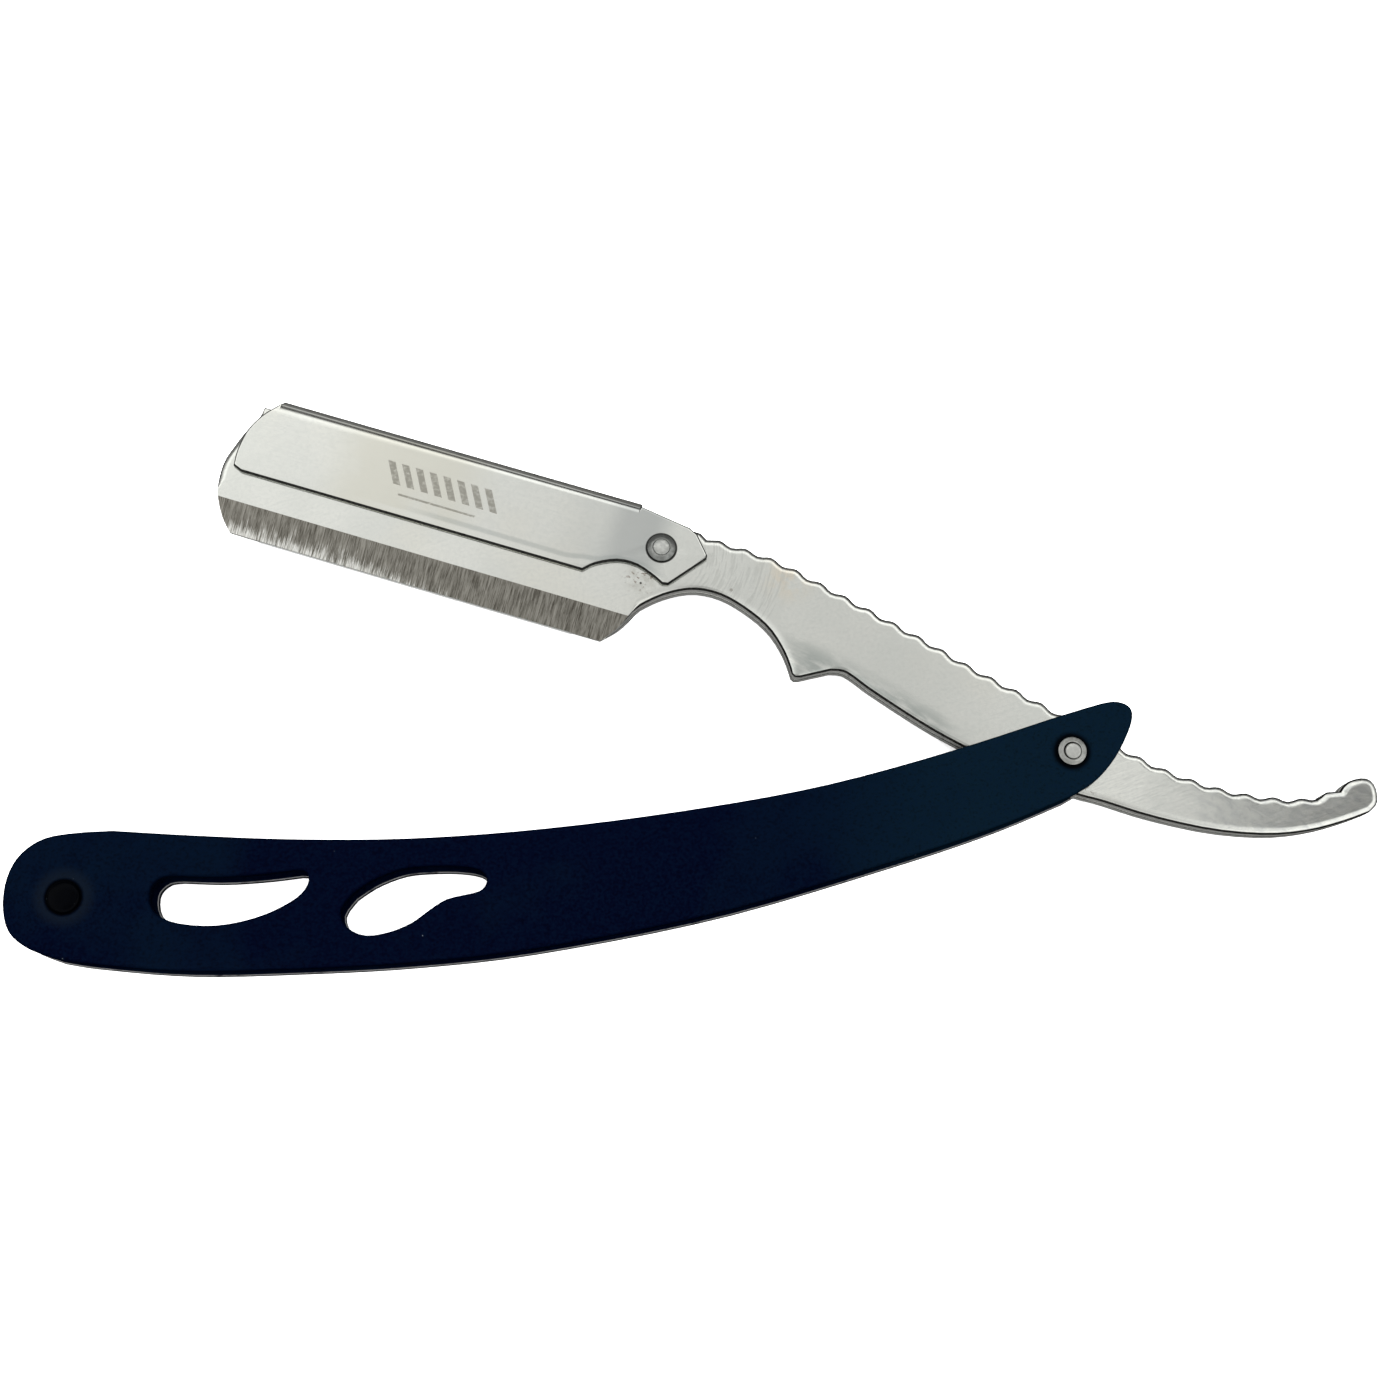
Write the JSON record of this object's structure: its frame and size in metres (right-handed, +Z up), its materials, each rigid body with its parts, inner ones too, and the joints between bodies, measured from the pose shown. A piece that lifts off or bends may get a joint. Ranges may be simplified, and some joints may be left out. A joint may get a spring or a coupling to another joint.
{
  "type": "folding barber razor",
  "caption": "Folding barber razor for half blades: steel arm with a locking cover, finger notch and scalloped tail, in a dark coated handle.",
  "frame": {"origin": "centre of the box round the razor as it lies, on the surface that it lies on", "axes": "+X from the handle's tip towards the tail, +Y from the handle towards the opened arm, +Z up, out of the front scale"},
  "size_m": [0.1766, 0.0774, 0.0072],
  "materials": {
    "dark_coat": "satin navy-black powder coat with a fine grain",
    "arm_steel": "polished stainless steel with faint curved brushing and a coarse ground bevel",
    "cover_steel": "polished stainless sheet",
    "rivet_steel": "turned and peened steel, satin",
    "blade_steel": "rolled blade steel with a ground edge",
    "brass": "plain brass"
  },
  "bodies": {
    "handle": {"front_scale": "dark_coat", "back_scale": "dark_coat", "end_rivet": "dark_coat", "end_spacer": "brass", "pivot_pin": "rivet_steel", "pivot_front_collar": "rivet_steel", "pivot_back_collar": "rivet_steel", "pivot_front_washer": "brass", "pivot_back_washer": "brass"},
    "arm": {"front_arm_plate": "arm_steel", "back_arm_plate": "arm_steel", "heel_blade_stud": "rivet_steel", "toe_blade_stud": "rivet_steel", "cover_pin": "rivet_steel", "cover_front_collar": "rivet_steel", "cover_back_collar": "rivet_steel"},
    "cover": {"lock_cover": "cover_steel"},
    "blade": {"half_blade": "blade_steel"}
  },
  "joints": [
    {"name": "arm_pivot", "type": "hinge", "parent": "handle", "child": "arm", "pos_m": [0.04687, -0.00885, 0.0036], "axis": [0, 0, 1], "range_deg": [-246, 24]},
    {"name": "cover_swing", "type": "hinge", "parent": "arm", "child": "cover", "pos_m": [-0.00683, 0.01845, 0.0036], "axis": [0, 0, 1], "range_deg": [-85, 0]},
    {"name": "blade_slide", "type": "slide", "parent": "arm", "child": "blade", "axis": [-0.2763, -0.9611, 0], "range_m": [0, 0.012]}
  ]
}
